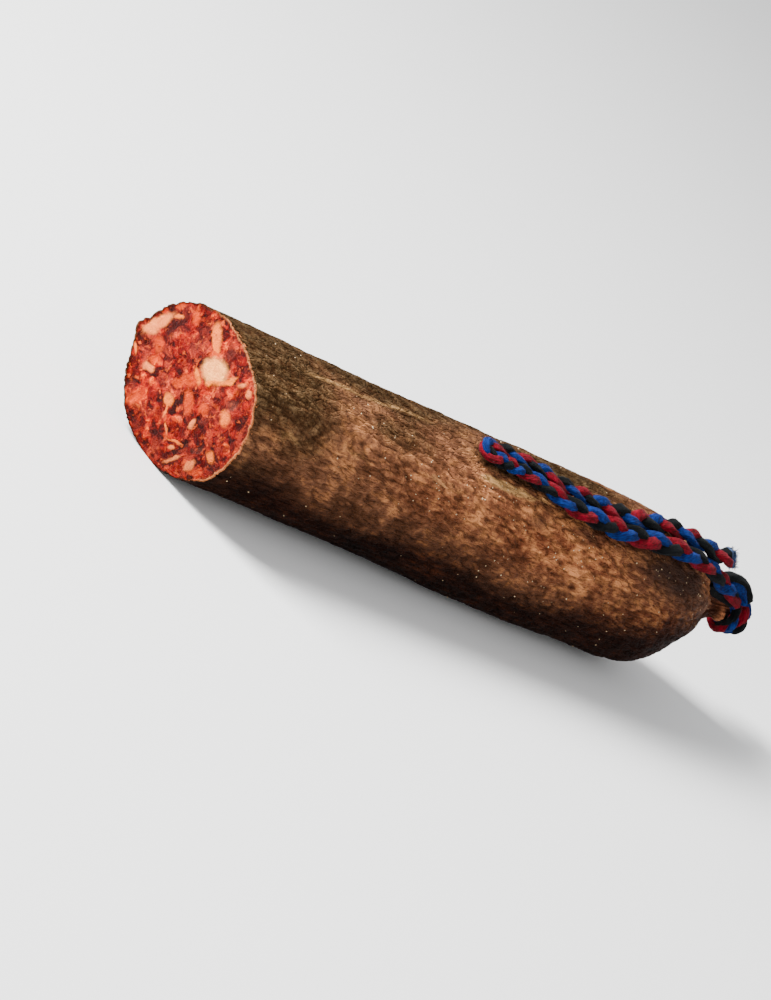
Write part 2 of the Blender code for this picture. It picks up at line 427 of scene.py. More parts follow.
def plait(make, route, outward, rng, frayEnd=False):
    # strands that cross over each other, with their fuzz: points, faces, slots, fibre directions
    line, along = evenly(route, fibre["step"])
    ahead = unit(np.gradient(line, axis=0))
    lift = outward(line)
    lift = unit(lift - ahead * np.sum(lift * ahead, axis=1, keepdims=True))
    side = np.cross(ahead, lift)
    total = along[-1]
    points, faces, slots, fibres = [], [], [], []
    count = 0
    sides = fibre["sides"]
    taper, thinner = fibre["taper"]
    roughWave, roughHeight = fibre["rough"]
    around = np.linspace(0.0, fullTurn, sides, endpoint=False)
    turned = np.radians(evenedTurn(make["marks"], along))
    size = np.interp(along, [m[0] for m in make["sizes"]], [m[1] for m in make["sizes"]])
    for strand in make["strands"]:
        turn = turned + fullTurn * strand / 3
        swell = np.sin(along / 6.1 + strand * 2.1) * np.sin(along / 17.0 + strand)
        uneven = size * (1 + fibre["uneven"] * swell)
        if frayEnd:
            uneven = uneven * (1 - thinner * softStep(total - taper, total, along))
        middle = line + rows(make["sway"] * size * np.sin(turn)) * side
        middle = middle + rows(make["weave"] * size * np.sin(2 * turn)) * lift
        own = unit(np.gradient(middle, axis=0))
        wide = unit(side - own * np.sum(side * own, axis=1, keepdims=True))
        high = np.cross(own, wide)
        twist = rows(fullTurn * along / fibre["plyPitch"])
        ply = 1 + fibre["plyDepth"] * np.cos(fibre["plies"] * around[None, :] + twist)
        acrossSize = (rows(make["strandWide"] * uneven) * ply * np.cos(around))[:, :, None]
        upSize = (rows(make["strandHigh"] * uneven) * ply * np.sin(around))[:, :, None]
        sleeve = middle[:, None, :] + acrossSize * wide[:, None, :] + upSize * high[:, None, :]
        rough = bumps(sleeve.reshape(-1, 3), roughWave, strand * 7.3).reshape(sleeve.shape[:2])
        outwards = unit(sleeve - middle[:, None, :])
        sleeve = sleeve + roughHeight * rough[:, :, None] * outwards
        sleevePoints = sleeve.reshape(-1, 3)
        points.append(sleevePoints)
        made = gridFaces(len(along), sides, count)
        end = count + len(sleevePoints)
        made.append(tuple(range(count + sides - 1, count - 1, -1)))
        made.append(tuple(range(end - sides, end)))
        faces += made
        tuft = int(fibre["tuft"] / fibre["step"]) * sides + 1 if frayEnd else 0
        slots += [strand] * (len(made) - tuft) + [fibre["worn"]] * tuft
        spin = around[None, :] + rows(along) * 0.25
        lengthwise = np.repeat(rows(along) * 0.16 + strand * 9, sides, axis=1)
        fibres.append(np.stack([np.cos(spin) * 1.6, np.sin(spin) * 1.6, lengthwise], axis=2).reshape(-1, 3))
        count = end
        # fuzz: short bent fibres that stand off the strand
        for _ in range(int(total * fibre["hairs"] / 3)):
            i, j = rng.randrange(len(along)), rng.randrange(sides)
            root = sleeve[i, j] - outwards[i, j] * 0.1
            slope = Vector(rng.gauss(0, 0.7) * wide[i] + rng.gauss(0, 0.9) * own[i])
            heading = Vector(outwards[i, j]) * 0.55 + slope
            length = rng.uniform(*fibre["hairLength"])
            count = addHair(points, faces, slots, fibres, count, root, heading, length, strand, rng)
        if frayEnd:
            for _ in range(fibre["frayHairs"]):
                j = rng.randrange(sides)
                root = middle[-1] + (sleeve[-1, j] - middle[-1]) * rng.random() * 1.1 - own[-1] * 1.0
                heading = Vector(own[-1]) * 1.0 + Vector([rng.gauss(0, 0.75) for _ in range(3)])
                length = rng.uniform(0.5, 1.0) * fibre["fray"]
                slot = rng.choice([fibre["worn"]] * 3 + [strand])
                thick = fibre["frayThick"]
                count = addHair(points, faces, slots, fibres, count, root, heading, length, slot, rng, thick)
    return np.concatenate(points), faces, slots, np.concatenate(fibres)


def addHair(points, faces, slots, fibres, count, root, heading, length, slot, rng, thick=fibre["hairThick"]):
    # one bent three-sided fibre that thins towards its tip
    heading = heading.normalized()
    bend = Vector([rng.gauss(0, 0.5) for _ in range(3)])
    flat = heading.orthogonal().normalized()
    other = heading.cross(flat)
    place = Vector(root)
    spots = []
    for k in range(4):
        size = thick * (1 - 0.25 * k)
        for m in range(3):
            spin = fullTurn * m / 3
            spots.append(place + (flat * math.cos(spin) + other * math.sin(spin)) * size)
        heading = (heading + bend * 0.35).normalized()
        place = place + heading * (length / 3)
    points.append(np.array(spots))
    fibres.append(np.array(spots) * 0.4)
    made = gridFaces(4, 3, count)
    faces += made
    slots += [slot] * len(made)
    return count + len(spots)


def inRow(points):
    # from distances along the sausage to the row's own X
    return np.array(points, dtype=float) - np.array([cord["middleX"], 0.0, 0.0])


def awayFromBody(points):
    return unit(points * np.array([0.0, 1.0, 1.0]) - np.array([0.0, -0.2, 27.0]))


def makeCord():
    rng = random.Random(cord["seed"])
    route = smoothRoute(inRow(cord["route"]), cord["smooth"])
    points, faces, slots, fibres = plait(cord, route, awayFromBody, rng, frayEnd=True)
    piece = addPiece("cordLoop", points, faces, yarnPaints, slots, {"fibre": fibres})
    line, along = evenly(route, 2.0)
    return piece, line * mm, along[-1] * mm


cordPiece, cordLine, cordLength = makeCord()
print("cord laid, %.0f mm long" % (cordLength / mm))


# the sausage's shape, as in its solid
sausage = {
    "middleX": cord["middleX"],
    "middleY": 0.2,
    # distance from the cut, radius, height of the section's middle
    "stations": [
        (-18.0, 25.1, 24.7), (0.0, 25.2, 24.8), (60.0, 25.3, 24.9), (120.0, 25.9, 25.5),
        (168.0, 26.5, 26.1), (196.0, 26.5, 26.2), (208.0, 25.7, 26.4), (218.0, 23.7, 26.9),
        (227.5, 20.0, 27.7), (235.5, 14.8, 28.7), (242.0, 9.2, 29.7), (247.6, 5.6, 30.3),
        (254.0, 3.4, 31.2), (262.3, 2.9, 32.6), (268.3, 3.3, 33.6), (271.3, 2.4, 34.1),
        (272.5, 0.0, 34.3),
    ],
    "cutLean": -0.17,  # how far the cut shifts along X for each unit of height
    "cutTurn": -0.31,  # and for each unit towards +Y
    # distance, angle from the top towards the front, height, half length, half width in degrees
    "lumps": [
        (124.0, 148.0, 1.3, 24.0, 22.0), (160.0, 146.0, 1.0, 18.0, 22.0),
        (70.0, 60.0, 0.4, 22.0, 26.0), (98.0, -120.0, 0.7, 26.0, 28.0),
        (190.0, -60.0, 0.6, 18.0, 25.0), (215.0, 136.0, 2.1, 13.0, 28.0),
        (4.0, -86.0, 1.7, 34.0, 7.0), (256.1, 98.0, 2.4, 1.7, 42.0),
    ],
    # how many round the section, height, phase, how far they wander
    "creases": [(5, 0.20, 1.3, 47.0), (8, 0.14, 0.4, 31.0), (13, 0.08, 2.1, 23.0)],
    "creaseEnd": 225.0,
    "creaseFade": 40.0,
    "domeStart": 205.0,
    "pleats": 11,
    "pleatDepth": 0.055,
    "pleatLength": 38.0,
}
stationTable = np.array(sausage["stations"])


def alongStations(distance, column):
    last = len(stationTable) - 1
    spot = np.clip(np.searchsorted(stationTable[:, 0], distance, side="right") - 1, 0, last - 1)

    def slope(k):
        below, above = np.maximum(k - 1, 0), np.minimum(k + 1, last)
        rise = stationTable[above, column] - stationTable[below, column]
        return rise / (stationTable[above, 0] - stationTable[below, 0])

    length = stationTable[spot + 1, 0] - stationTable[spot, 0]
    t = np.clip((distance - stationTable[spot, 0]) / length, 0.0, 1.0)
    return (
        stationTable[spot, column] * (2 * t**3 - 3 * t**2 + 1)
        + stationTable[spot + 1, column] * (3 * t**2 - 2 * t**3)
        + slope(spot) * length * (t**3 - 2 * t**2 + t)
        + slope(spot + 1) * length * (t**3 - t**2)
    )


def angleFrom(angle, degrees):
    return (angle - math.radians(degrees) + math.pi) % fullTurn - math.pi


def lowRelief(distance, angle):
    height = np.zeros_like(distance)
    for at, facing, lift, halfLength, halfWidth in sausage["lumps"]:
        across = angleFrom(angle, facing) / math.radians(halfWidth)
        height += lift * np.exp(-(((distance - at) / halfLength) ** 2) - across**2)
    bodyPart = np.clip((sausage["creaseEnd"] - distance) / sausage["creaseFade"], 0.0, 1.0)
    for count, lift, phase, wander in sausage["creases"]:
        height += bodyPart * lift * np.cos(count * angle + phase + np.sin(distance / wander))
    gather = np.clip((distance - sausage["domeStart"]) / sausage["pleatLength"], 0.0, 1.0) ** 1.5
    swing = np.cos(sausage["pleats"] * angle + 0.7 * np.sin(2 * angle) + distance / 30.0)
    return height + gather * sausage["pleatDepth"] * alongStations(distance, 1) * swing


def plainSkin(distance, angle, inset=0.0):
    # points of the smooth skin, and their radius
    radius = alongStations(distance, 1)
    grown = radius + lowRelief(distance, angle) * np.minimum(radius / 2.0, 1.0) - inset
    height = alongStations(distance, 2) + grown * np.cos(angle)
    x = distance - sausage["middleX"]
    return np.stack([x, -grown * np.sin(angle) - sausage["middleY"], height], axis=-1), radius


wrinkles = {
    "swell": (13.0, 0.30),  # wave length and height of the soft unevenness
    "pebble": (3.6, 0.15),
    "folds": (9.5, 2.1, 0.56),  # length and width of the long dry wrinkles, and their depth
    "fine": (4.2, 1.2, 0.17),
    "pleatFolds": (22, 0.30),  # how many at the neck, and their height
    "wander": (9.0, 1.4),  # wave length and size of the wrinkles' bends
    "slant": 0.10,
    "sharp": 2.6,
    "domeFrom": (226.0, 244.0),  # where the wrinkles give way to pleats
}


def skin(distance, angle, inset=0.0):
    # the dried skin with its wrinkles, and how deep each point lies in a wrinkle
    points, radius = plainSkin(distance, angle, inset)
    full = np.minimum(radius / 9.0, 1.0)
    swellWave, swellHeight = wrinkles["swell"]
    pebbleWave, pebbleHeight = wrinkles["pebble"]
    rise = bumps(points, swellWave, 3.1) * swellHeight + bumps(points, pebbleWave, 7.7) * pebbleHeight
    wanderWave, wanderSize = wrinkles["wander"]
    warp = np.stack([bumps(points, wanderWave, 11.0 + k) for k in range(3)], axis=1) * wanderSize
    deep = np.zeros_like(distance)
    for wave, across, depth in (wrinkles["folds"], wrinkles["fine"]):
        slanted = points + np.array([0.0, 1.0, 1.0]) * points[:, :1] * wrinkles["slant"]
        wavy = bumps((slanted + warp) / np.array([wave, across, across]), 1.0, across)
        ridge = 1 - np.abs(wavy) * wrinkles["sharp"]
        ridge = np.clip(ridge, 0.0, 1.0) ** 2
        deep += ridge * depth
    dome = softStep(*wrinkles["domeFrom"], distance)
    count, pleatHeight = wrinkles["pleatFolds"]
    wander = bumps(points, 10.0, 5.0)
    pleat = np.cos(count * angle + 2.4 * wander + distance / 18.0)
    rise = rise * (1 - 0.6 * dome) + pleat * pleatHeight * dome * np.minimum(radius / 5.0, 1.0)
    lift = (rise - deep * (1 - 0.7 * dome)) * full
    outwards = np.stack([np.zeros_like(angle), -np.sin(angle), np.cos(angle)], axis=-1)
    points = points + outwards * lift[:, None]
    points[:, 2] = np.maximum(points[:, 2], 0.02)
    return points, deep, pleat * dome


def planeX(points, outwards=0.0):
    # where the cut lies for each point, or that far in front of it
    height = points[:, 2] - stationTable[1][2]
    lean = sausage["cutTurn"] * points[:, 1] + sausage["cutLean"] * height
    return lean - outwards - sausage["middleX"]


def cutDistance(angle):
    distance = np.zeros_like(angle)
    for _ in range(14):
        points, _ = plainSkin(distance, angle)
        distance = planeX(points) + sausage["middleX"]
    return distance


# the casing: points in rings from the cut to the neck
casing = {
    "around": 270,
    "rimStep": 0.3,  # between the first rings, up to rimEnd
    "rimEnd": 2.1,
    "bodyStep": 0.98,
    "domeStep": 0.62,
    "domeFrom": 226.0,
    "slantEnd": 44.0,  # past this distance the rings stand square
    "thickness": 0.24,  # of the skin and the pale fat under it, where it is cut
    "lipOut": 0.16,  # how far the skin stands in front of the meat
    "lipFray": 0.34,
    "paleFacing": 58.0,  # the pale edge shows on this side only, in degrees from the top
    "paleSpan": (-0.1, 0.75),
}

# tinted areas of the skin: distance, angle, half length, half width in degrees, strength
tints = {
    "bloom": [
        (8, 10, 40, 70, 0.95), (60, -20, 60, 42, 0.95), (120, -38, 60, 34, 0.8), (190, -45, 50, 34, 0.5),
        (26, 50, 22, 40, 0.6), (66, 30, 26, 20, 0.6), (10, 120, 28, 50, 0.5), (118, 18, 30, 14, 0.75),
        (150, -4, 44, 20, 0.8),
    ],
    "rust": [
        (150, 62, 60, 34, 0.75), (205, 82, 22, 18, 1.0), (95, 66, 34, 22, 0.55), (222, 74, 12, 14, 0.7),
        (184, 92, 24, 20, 0.7), (232, 30, 10, 50, 0.35), (250, 60, 9, 180, 0.9),
    ],
    "plum": [
        (203, 47, 20, 17, 1.0), (216, 44, 12, 16, 1.0), (226, 52, 12, 20, 0.7), (133, 50, 5, 5, 0.6),
        (156, 44, 7, 6, 0.5),
    ],
    # tan: pale streaks, partly the skin's paler tone, partly painted highlights along its ridges
    "tan": [
        (117, 35, 16, 5, 1.0), (134, 33, 8, 5, 0.5), (22, 66, 9, 7, 0.5), (88, 52, 16, 7, 0.5),
        (48, 58, 16, 9, 0.45), (98, 12, 20, 4, 0.3),
    ],
    # blob: the stub's tip, partly its paler skin, partly painted light where it lies in shade
    "blob": [(256.1, 98, 1.5, 34, 1.0)],
    # painted light: the lit band of the skin and the dome by the neck, brightened in their colour
    "light": [
        (98, 52, 46, 24, 1.0), (150, 62, 40, 24, 0.9), (58, 52, 30, 22, 0.6), (182, 58, 24, 16, 0.5),
        (230, 36, 14, 26, 1.0), (20, 40, 26, 50, 0.3),
    ],
}


def tintAmount(name, distance, angle):
    amount = np.zeros_like(distance)
    for at, facing, halfLength, halfWidth, strength in tints[name]:
        across = angleFrom(angle, facing) / math.radians(halfWidth)
        near = np.exp(-(((distance - at) / halfLength) ** 2) - across**2)
        amount = np.maximum(amount, near * strength)
    return amount


def ringSpots():
    rim = np.arange(0.25, casing["rimEnd"], casing["rimStep"])
    bodyPart = np.arange(casing["rimEnd"], casing["domeFrom"], casing["bodyStep"])
    dome = np.arange(casing["domeFrom"], stationTable[-1][0] - 0.3, casing["domeStep"])
    return np.concatenate([rim, bodyPart, dome, [stationTable[-1][0] - 0.12]])


def paleShare(angle):
    return softStep(*casing["paleSpan"], np.cos(angleFrom(angle, casing["paleFacing"])))


# long marks on the skin, and the painted shade on its underside: distances in millimetres, the rest in
# degrees round from the top
lines = {
    "veinFacing": 13.0,
    "veinWide": 0.55,  # millimetres
    "veinFrom": (22, 32),
    "veinTo": (62, 92),
    "dimFrom": 80,  # where the painted shade on the underside starts
    "dimSooner": 28,  # at the tied end
    "dimEnd": (188, 224),
    "dimSpan": 38,
    "dimBack": (212, 255),
    "topFacing": -8.0,
    "topSpan": (14, 46),
    "neckFrom": (240.0, 250.0),
}


def lineAmounts(distance, angle):
    bend = np.clip(distance - 30, 0, 60) * 0.0024 + 0.02 * np.sin(distance / 5)
    off = np.abs(angleFrom(angle, lines["veinFacing"]) + bend)
    vein = np.exp(-((off * 25 / lines["veinWide"]) ** 2))
    low = np.degrees(angle) % 360
    # painted shade: the underside darkens from this angle round, sooner at the tied end
    dimFrom = lines["dimFrom"] - lines["dimSooner"] * softStep(*lines["dimEnd"], distance)
    dim = softStep(dimFrom, dimFrom + lines["dimSpan"], low + 6 * np.sin(distance / 13))
    fromTop = np.degrees(np.abs(angleFrom(angle, lines["topFacing"])))
    return {
        "vein": vein * softStep(*lines["veinFrom"], distance) * (1 - softStep(*lines["veinTo"], distance)),
        "dim": dim * (1 - softStep(*lines["dimBack"], low)),
        "topSide": 1 - softStep(*lines["topSpan"], fromTop),
        "neck": softStep(*lines["neckFrom"], distance),
    }


def makeCasing():
    count = casing["around"]
    angle = np.linspace(0.0, fullTurn, count, endpoint=False)
    slant = cutDistance(angle)
    frayed = (0.5 + 0.5 * np.sin(angle * 3 + 1.0)) * (0.6 + 0.4 * np.sin(angle * 11))
    lip = casing["lipOut"] + casing["lipFray"] * frayed
    paleSide = paleShare(angle)
    made = []
    # the cut edge: under the meat, inner edge, outer edge
    for inset, ahead in ((casing["thickness"] + 0.1, -1.6), (casing["thickness"], 1.0), (0.05, 1.0)):
        points, deep, pleat = skin(slant, angle, inset)
        points[:, 0] = planeX(points, lip * ahead if ahead > 0 else ahead)
        made.append((points, deep, pleat, paleSide, slant, angle))
    for spot in ringSpots():
        straight = softStep(0.0, casing["slantEnd"], np.full(count, spot))
        distance = spot + slant * (1 - straight)
        points, deep, pleat = skin(distance, angle)
        if spot < casing["rimEnd"]:
            points[:, 0] = planeX(points, lip * (1 - spot / casing["rimEnd"]) ** 2) + spot
        made.append((points, deep, pleat, (1 - softStep(0.1, 0.8, spot)) * paleSide, distance, angle))
    rings, deeps, pleats, lips, distances, angles = zip(*made)
    points = np.concatenate(rings)
    faces = gridFaces(len(rings), count)
    tip = rings[-1].mean(axis=0) + np.array([0.12, 0.0, 0.0])
    points = np.concatenate([points, tip[None, :]])
    start = (len(rings) - 1) * count
    faces += [(start + j, start + (j + 1) % count, start + len(rings[-1])) for j in range(count)]
    distance = np.append(np.concatenate(distances), stationTable[-1][0])
    angle = np.append(np.concatenate(angles), 0.0)
    attributes = {name: tintAmount(name, distance, angle) for name in tints}
    attributes.update(lineAmounts(distance, angle))
    for name, values in (("deep", deeps), ("pleat", pleats), ("lip", lips)):
        attributes[name] = np.append(np.concatenate(values), 0.0)
    return addPiece("casingSkin", points, faces, [makeCasingPaint()], None, attributes)


skinColours = {
    # dark: the skin's darkest tone and its pits, also the painted shade in its wrinkles
    "dark": tint(46, 23, 9),
    "brown": tint(78, 48, 30),
    "warm": tint(109, 71, 49),
    "pale": tint(174, 115, 72),
    "bloomDark": tint(32, 20, 4),
    "bloomMid": tint(61, 46, 27),
    "bloomPale": tint(92, 75, 52),
    # the dark end of the rust, also the painted shade in the neck's pleats
    "rustDarkAndPleatShade": tint(37, 5, 4),
    "rust": tint(90, 44, 24),
    "plum": tint(46, 32, 27),
    "neck": tint(62, 34, 22),
    "tan": tint(220, 168, 108),
    "lip": tint(196, 116, 70),
    "blob": tint(170, 108, 72),
}


# waves per millimetre, detail and roughness of each noise in the skin
skinNoise = {
    "broad": (0.11, 4.0, 0.6),
    "streak": (0.5, 4.0, 0.55),
    "mottle": (0.30, 4.0, 0.58),
    "grain": (1.7, 3.0, 0.6),
    "blotch": (0.95, 3.0, 0.7),
    "patches": (0.075, 3.0, 0.6),
}
# the three colour ranges of the skin
skinStops = {
    "brown": [(0.34, "dark"), (0.46, "brown"), (0.58, "warm"), (0.74, "pale")],
    "rust": [(0.40, "rustDarkAndPleatShade"), (0.54, "rust"), (0.72, "pale")],
    "bloom": [(0.40, "bloomDark"), (0.50, "bloomMid"), (0.61, "bloomPale")],
}
# what a tinted area multiplies the skin by: painted light on the lit band, painted shade on the underside,
# and a darker bloom on the top
skinShades = {
    "topSide": (0.62, 0.62, 0.60, 1.0),
    "light": (1.95, 1.85, 1.78, 1.0),
    "dim": (0.07, 0.022, 0.012, 1.0),
}


def namedStops(stops):
    return [(at, skinColours[name]) for at, name in stops]


def makeCasingPaint():
    paint = Paint("driedCasing")
    colour = skinColours
    place = paint.shifted(paint.places(), 3.0, 0.11)
    streaky = paint.shifted(paint.places((0.34, 1.0, 1.0)), 1.5, 0.3)
    patchy = paint.shifted(paint.places((0.7, 1.0, 1.0)), 6.0, 0.06)
    broad = paint.noise(place, *skinNoise["broad"])
    streak = paint.noise(streaky, *skinNoise["streak"])
    mottle = paint.noise(place, *skinNoise["mottle"])
    grain = paint.noise(paint.places(), *skinNoise["grain"])
    blotch = paint.noise(place, *skinNoise["blotch"])
    patches = paint.noise(patchy, *skinNoise["patches"])
    value = streak * 0.42 + mottle * 0.42 + grain * 0.10 + patches * 0.46 - 0.15
    # painted light raises the tone on the lit band, painted shade lowers it on the underside
    value = value + paint.stored("light") * 0.075 - paint.stored("dim") * 0.03
    base = paint.ramp(value, namedStops(skinStops["brown"]))
    rusty = paint.ramp(value, namedStops(skinStops["rust"]))
    rustMask = (paint.stored("rust") * 1.1 + broad * 0.5 - 0.3).held() * 0.85
    base = paint.blend(rustMask, base, rusty)
    plumMask = (paint.stored("plum") * 1.3 + mottle * 0.5 - 0.30).held() * 0.9
    base = paint.blend(plumMask, base, colour["plum"])
    dust = mottle * 0.5 + blotch * 0.35 + grain * 0.3 - 0.08
    dusty = paint.ramp(dust, namedStops(skinStops["bloom"]))
    dusty = paint.blend(paint.stored("topSide") * 0.7, dusty, skinShades["topSide"], "MULTIPLY")
    bloomMask = (paint.stored("bloom") * 1.25 + broad * 0.6 + streak * 0.3 - 0.62).between(0.1, 0.75)
    base = paint.blend(bloomMask * 0.9, base, dusty)
    # painted light on the lit band of the skin
    base = paint.blend(paint.stored("light"), base, skinShades["light"], "MULTIPLY")
    # pale tan streaks: partly paler skin, partly painted highlights on the ridges
    tanAndSheenMask = (paint.stored("tan") * 1.1 + streak * 0.8 - 0.62).between(0.15, 0.7)
    # dark specks of mould and dry pits, and painted shade in the wrinkles
    pits = (1 - paint.cells(place, 0.42)).between(0.72, 0.9) * mottle.between(0.45, 0.6)
    creaseShade = paint.stored("deep").between(0.16, 0.52) * 0.52
    veined = paint.stored("vein") * 0.4
    for mask, name in ((tanAndSheenMask * 0.9, "tan"), (veined, "tan"), (pits * 0.6, "dark"), (creaseShade, "dark")):
        base = paint.blend(mask, base, colour[name])
    # painted shade on the underside of the skin
    base = paint.blend(paint.stored("dim") * 0.94, base, skinShades["dim"], "MULTIPLY")
    # painted shade in the troughs of the neck's pleats
    pleatShade = (0.1 - paint.stored("pleat")).between(0.1, 1.0) * 0.4
    edged = paint.stored("lip").between(0.2, 0.8) * 0.7
    # the blob is partly painted light on the stub's shaded tip
    necked, blobbed = paint.stored("neck") * 0.7, paint.stored("blob")
    for mask, name in ((necked, "neck"), (blobbed, "blob"), (pleatShade, "rustDarkAndPleatShade"), (edged, "lip")):
        base = paint.blend(mask, base, colour[name])
    rough = (0.5 + bloomMask * 0.3 + grain * 0.16 - paint.stored("neck") * 0.18).held()
    crackle = paint.cells(streaky, 0.7, "DISTANCE_TO_EDGE").between(0.0, 0.16)
    height = streak * 0.9 + grain * 0.55 + crackle * 0.35
    return paint.finish({
        "Base Color": base,
        "Roughness": rough,
        "Specular IOR Level": 0.03,
        "Normal": paint.bump(height, 0.95, 1.3),
    })


casingPiece = makeCasing()
print("casing made")


# the cut face: minced meat round pieces of fat and dark meat
cutFace = {
    "across": (-0.756, 0.655),  # Y and Z of the face's own right
    "up": (0.655, 0.756),  # and of its own top
    "columns": 540,
    "rings": 98,
    "recess": 0.10,  # behind the casing's edge
    "grainHeight": 0.30,
    "wobble": ((2.3, 0.62), (0.9, 0.26)),  # wave lengths and sizes of the pieces' uneven outlines
    "softEdge": (0.64, 1.26),  # where a piece starts to fade into the meat, and where it ends
    "rimFade": (0.972, 0.995),  # of the way out to the casing
    "lowerFade": (4.0, -26.0),  # heights between which painted shade darkens the face
}

# the pieces in the meat: across, up, half length, half width, turn in degrees
meatPieces = [
    ("pinkFat", -11.3, 18.6, 6.8, 1.8, 22), ("pinkFat", -14.5, 16.9, 3.1, 1.7, 2),
    ("whiteFat", 10.0, 5.9, 3.8, 4.9, 90), ("yellowFat", 9.7, 2.5, 3.6, 1.0, 2),
    ("yellowFat", 15.7, 3.3, 3.1, 0.9, 23), ("peachFat", 10.8, 15.5, 4.0, 1.9, 87),
    ("peachFat", 10.5, 11.8, 1.7, 1.2, 77), ("peachFat", -20.5, 12.1, 2.6, 0.7, 93),
    ("pinkFat", -15.3, 6.1, 2.5, 1.2, -13), ("mauve", -11.0, 2.6, 1.9, 1.2, 2),
    ("yellowFat", -7.6, -2.6, 2.0, 1.9, 97), ("peachFat", -8.8, -5.9, 2.0, 0.5, 64),
    ("pinkFat", 1.4, -8.9, 2.0, 1.0, 43), ("peachFat", 13.8, -7.3, 2.6, 1.8, 77),
    ("pinkFat", 22.7, 0.0, 1.4, 1.1, 90), ("pinkFat", 20.4, 2.3, 1.8, 0.6, 21),
    ("peachFat", 8.3, -18.1, 2.0, 1.6, 104), ("pinkFat", 0.3, -20.7, 2.5, 1.2, 26),
    ("pinkFat", -6.2, -19.4, 3.7, 0.6, 19), ("pink", 16.0, 13.4, 1.6, 2.1, 90),
    ("peachFat", -8.5, -10.8, 2.4, 0.5, 97), ("peachFat", -5.4, -14.3, 3.1, 0.4, -16),
    ("yellowFat", 3.4, 4.2, 2.4, 1.1, 104), ("pink", -17.0, 7.9, 2.9, 1.0, 52),
    ("pink", -13.0, -16.0, 2.0, 1.4, 53), ("pinkFat", -6.7, -16.0, 1.2, 0.7, 3),
    ("orange", -2.3, 24.0, 2.7, 1.1, 24), ("orange", 3.0, 20.7, 2.5, 1.6, 83),
    ("pink", 8.1, -13.6, 2.2, 0.8, 77), ("pink", 19.3, -11.8, 3.0, 0.7, 48),
    ("orange", 0.2, 3.1, 3.5, 2.0, 2), ("orange", 0.0, -3.0, 3.8, 1.9, 83),
    ("orange", 5.8, -4.8, 1.9, 1.9, 77), ("orange", -20.5, -2.7, 4.1, 2.0, 17),
    ("orange", -11.3, 12.5, 2.6, 2.0, 104), ("orange", -4.1, 1.9, 2.4, 1.4, 2),
    ("orange", -12.9, 8.3, 2.5, 1.2, 2), ("orange", 10.0, 10.7, 2.4, 0.7, 2),
    ("red", 18.0, -5.8, 2.5, 1.2, 3), ("orange", 2.2, -22.6, 3.3, 1.0, -4),
    ("orange", -9.0, -12.9, 1.0, 0.9, 90), ("red", 13.3, -9.7, 2.5, 0.9, 18),
    ("mauveDark", -3.4, 18.5, 2.9, 3.3, 90), ("dark", 6.9, 19.2, 2.8, 2.4, 52),
    ("dark", -16.2, 12.7, 1.2, 1.1, 76), ("dark", -20.3, -6.9, 2.6, 2.4, 104),
    ("maroon", -19.0, -10.5, 2.3, 2.2, 97), ("maroon", -4.8, -11.0, 2.5, 3.0, 90),
    ("maroon", 3.0, -12.3, 3.3, 2.0, 25), ("dark", 18.8, -1.0, 3.1, 2.0, 58),
    ("greyMeat", 16.3, -3.3, 2.2, 1.3, 34), ("mauveDark", 22.0, 6.3, 2.1, 1.8, 77),
    ("maroon", 2.8, -1.7, 1.3, 0.7, 90), ("dark", 4.4, -7.0, 1.3, 0.8, 53),
    ("greyMeat", 3.4, -16.3, 2.6, 1.0, 3), ("maroon", -9.6, -18.3, 3.4, 1.2, -12),
    ("dark", -16.7, -15.3, 2.1, 1.3, -39), ("maroon", -2.3, 7.9, 3.3, 1.8, 25),
    ("mauveDark", -22.2, 1.7, 2.1, 1.6, 90), ("mauveDark", -7.4, 16.3, 2.1, 1.7, 52),
    ("maroon", -11.3, -6.8, 2.0, 1.1, 90), ("maroon", -14.5, 20.2, 3.0, 0.5, 24),
    ("maroon", -3.1, -21.3, 1.7, 0.8, 97), ("mauve", 2.2, 13.4, 2.9, 2.3, 42),
    ("mauve", 15.5, 10.6, 2.6, 1.5, 25), ("pink", 0.5, -18.1, 2.2, 0.8, 10),
    ("mauve", 24.0, -3.1, 1.6, 1.2, 90), ("maroon", 8.9, 1.0, 2.4, 0.9, 10),
    ("red", -15.3, -0.8, 3.4, 1.8, 3), ("pink", -9.9, 3.9, 1.5, 0.8, 2),
    ("red", -2.3, 12.4, 3.2, 1.8, 25), ("mauve", 5.5, -8.1, 2.0, 1.2, 34),
    ("pink", 16.8, 7.4, 1.2, 0.8, 77), ("maroon", 10.5, -3.8, 1.7, 1.1, 64),
    ("pink", 14.4, -2.0, 1.5, 0.7, 53), ("maroon", 18.0, -9.5, 1.8, 0.9, 53),
    ("pink", 11.1, -15.5, 1.9, 0.7, 64), ("maroon", 5.6, -20.3, 1.5, 0.9, 77),
    ("maroon", 14.4, -15.3, 1.8, 0.9, 53), ("pink", -2.3, -16.6, 1.7, 0.5, 3),
    ("red", 6.7, -23.5, 3.3, 0.9, 7), ("red", -6.8, -22.2, 2.4, 0.8, -16),
    ("mauve", -21.0, -11.0, 0.9, 2.0, 90), ("red", 1.0, 23.9, 3.3, 0.9, -6),
    ("maroon", 5.5, 22.8, 1.5, 0.8, -30), ("red", 19.8, 8.8, 1.0, 3.3, 90),
    ("peachFat", -3.4, 20.5, 0.7, 1.7, 90),
]

